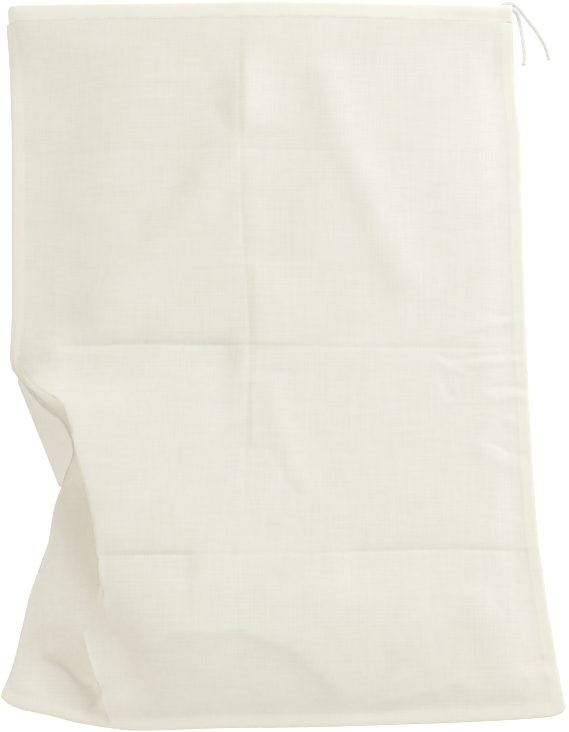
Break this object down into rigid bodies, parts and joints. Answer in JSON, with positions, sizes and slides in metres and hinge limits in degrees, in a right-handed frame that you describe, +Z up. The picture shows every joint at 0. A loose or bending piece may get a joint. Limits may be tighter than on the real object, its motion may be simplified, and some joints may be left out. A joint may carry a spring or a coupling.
{
  "type": "nut milk bag",
  "caption": "Flat cotton drawstring straining bag lying on its back, with a narrow casing along the mouth, a closed bottom seam and a cord whose free ends leave one corner.",
  "frame": {"origin": "middle of the underside of the bag as it lies on its back, without its free cord ends", "axes": "+X across the bag towards the corner where the cord leaves, +Y from the closed bottom to the mouth, +Z up from the surface it lies on"},
  "size_m": [0.3335, 0.437, 0.0287],
  "materials": {
    "muslin": "plain woven unbleached cotton",
    "folded_muslin": "plain woven unbleached cotton, several layers",
    "cord": "twisted bleached cotton cord"
  },
  "bodies": {
    "root": {"front_panel": "muslin", "back_panel": "muslin", "front_casing": "folded_muslin", "back_casing": "folded_muslin", "left_seam_allowance": "folded_muslin", "right_seam_allowance": "folded_muslin", "bottom_seam_allowance": "folded_muslin", "drawcord": "cord", "cord_end_front": "cord", "cord_end_back": "cord"}
  },
  "joints": []
}
